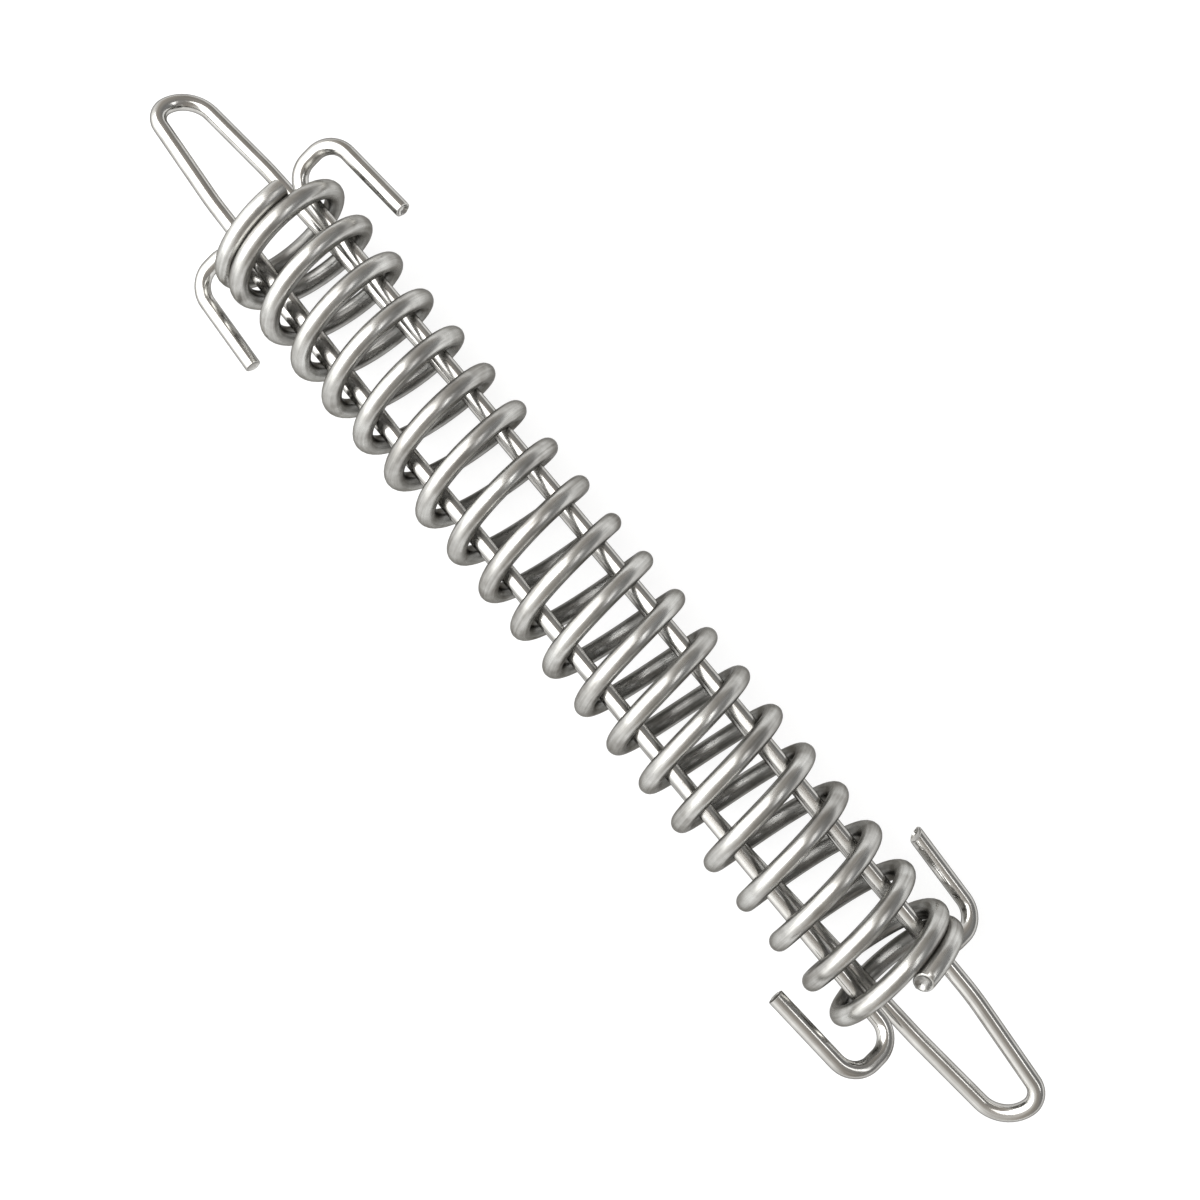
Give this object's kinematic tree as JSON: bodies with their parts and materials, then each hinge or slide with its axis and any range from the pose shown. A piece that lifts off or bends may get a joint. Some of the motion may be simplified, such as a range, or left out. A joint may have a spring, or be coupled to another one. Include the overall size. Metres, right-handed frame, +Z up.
{
  "type": "drawbar tension spring",
  "caption": "Wire compression coil with two U-shaped drawbars hooked over its far ends, so that pulling the two loops squeezes the coil; it keeps fence wire taut.",
  "frame": {"origin": "half-way between the tips of the two loops, on the axis of the coil", "axes": "+X along the coil towards the loop of drawbar_b, +Z up, with the spring lying on its side on the coil"},
  "size_m": [0.2776, 0.0492, 0.0328],
  "materials": {
    "coil_steel": "bright drawn spring wire, lightly satin",
    "bar_steel": "bright galvanised wire, fine drawing lines along it"
  },
  "bodies": {
    "coil_and_bar": {"coil_spring": "coil_steel", "drawbar_b": "bar_steel"},
    "pulled_bar": {"drawbar_a": "bar_steel"}
  },
  "joints": [
    {"name": "draw", "type": "slide", "parent": "coil_and_bar", "child": "pulled_bar", "axis": [-1, 0, 0], "range_m": [0, 0.11], "stiffness_N_per_m": 7000, "deforming": ["coil_spring"]}
  ]
}
